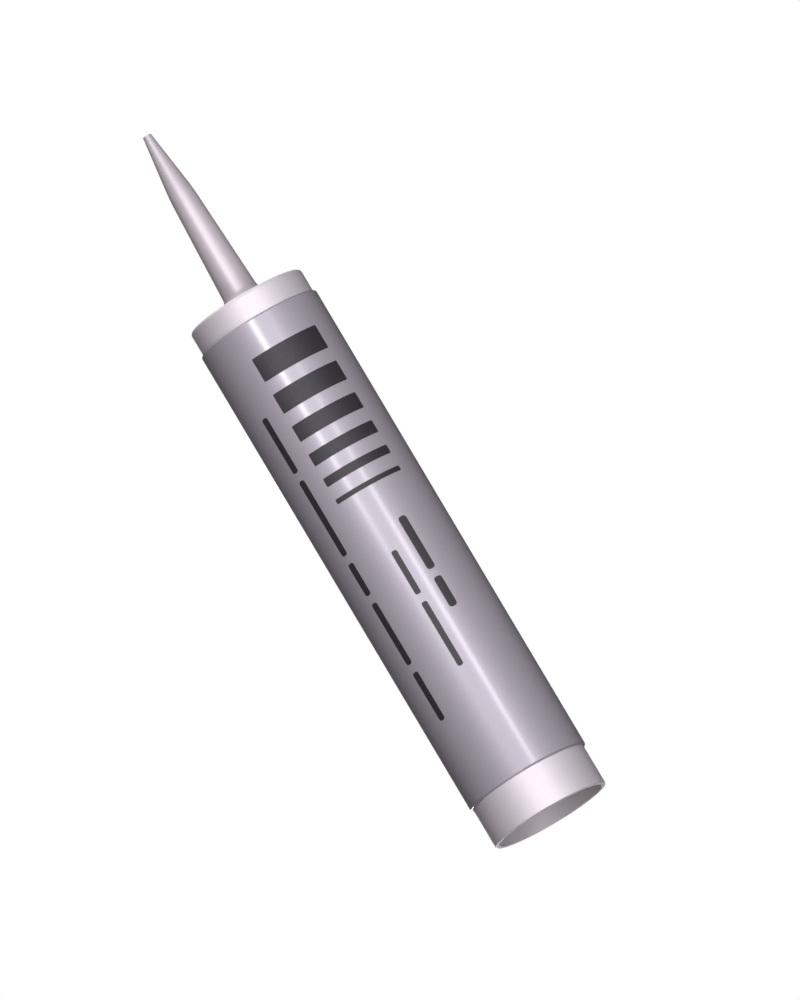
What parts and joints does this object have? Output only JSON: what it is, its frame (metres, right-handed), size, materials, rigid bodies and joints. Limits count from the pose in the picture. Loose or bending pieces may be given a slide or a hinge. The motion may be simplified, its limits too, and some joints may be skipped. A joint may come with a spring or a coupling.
{
  "type": "caulk tube",
  "caption": "Sealant cartridge for a caulk gun: round barrel with a sleeve, ribbed head, screw-on two-taper nozzle and a sliding plunger behind the sealant.",
  "frame": {"origin": "centre of the barrel's open rear rim, in the plane that the tube stands on", "axes": "+Z along the tube's axis from the rear rim to the nozzle's tip; the tube is round, so X and Y are free"},
  "size_m": [0.05, 0.05, 0.3002],
  "materials": {
    "barrel_plastic": "moulded satin",
    "label_film": "satin silver film",
    "seal_foil": "rolled foil",
    "nozzle_plastic": "moulded satin",
    "sealant_paste": "wet paste",
    "plunger_plastic": "moulded satin"
  },
  "bodies": {
    "barrel": {"barrel": "barrel_plastic", "label_sleeve": "label_film", "foil_seal": "seal_foil", "sealant": "sealant_paste"},
    "plunger": {"plunger": "plunger_plastic"},
    "nozzle": {"nozzle": "nozzle_plastic"}
  },
  "joints": [
    {"name": "plunger_slide", "type": "slide", "parent": "barrel", "child": "plunger", "axis": [0, 0, 1], "range_m": [0, 0.196], "deforming": ["sealant"]},
    {"name": "nozzle_unscrew", "type": "slide", "parent": "barrel", "child": "nozzle", "axis": [0, 0, 1], "range_m": [0, 0.02]}
  ]
}
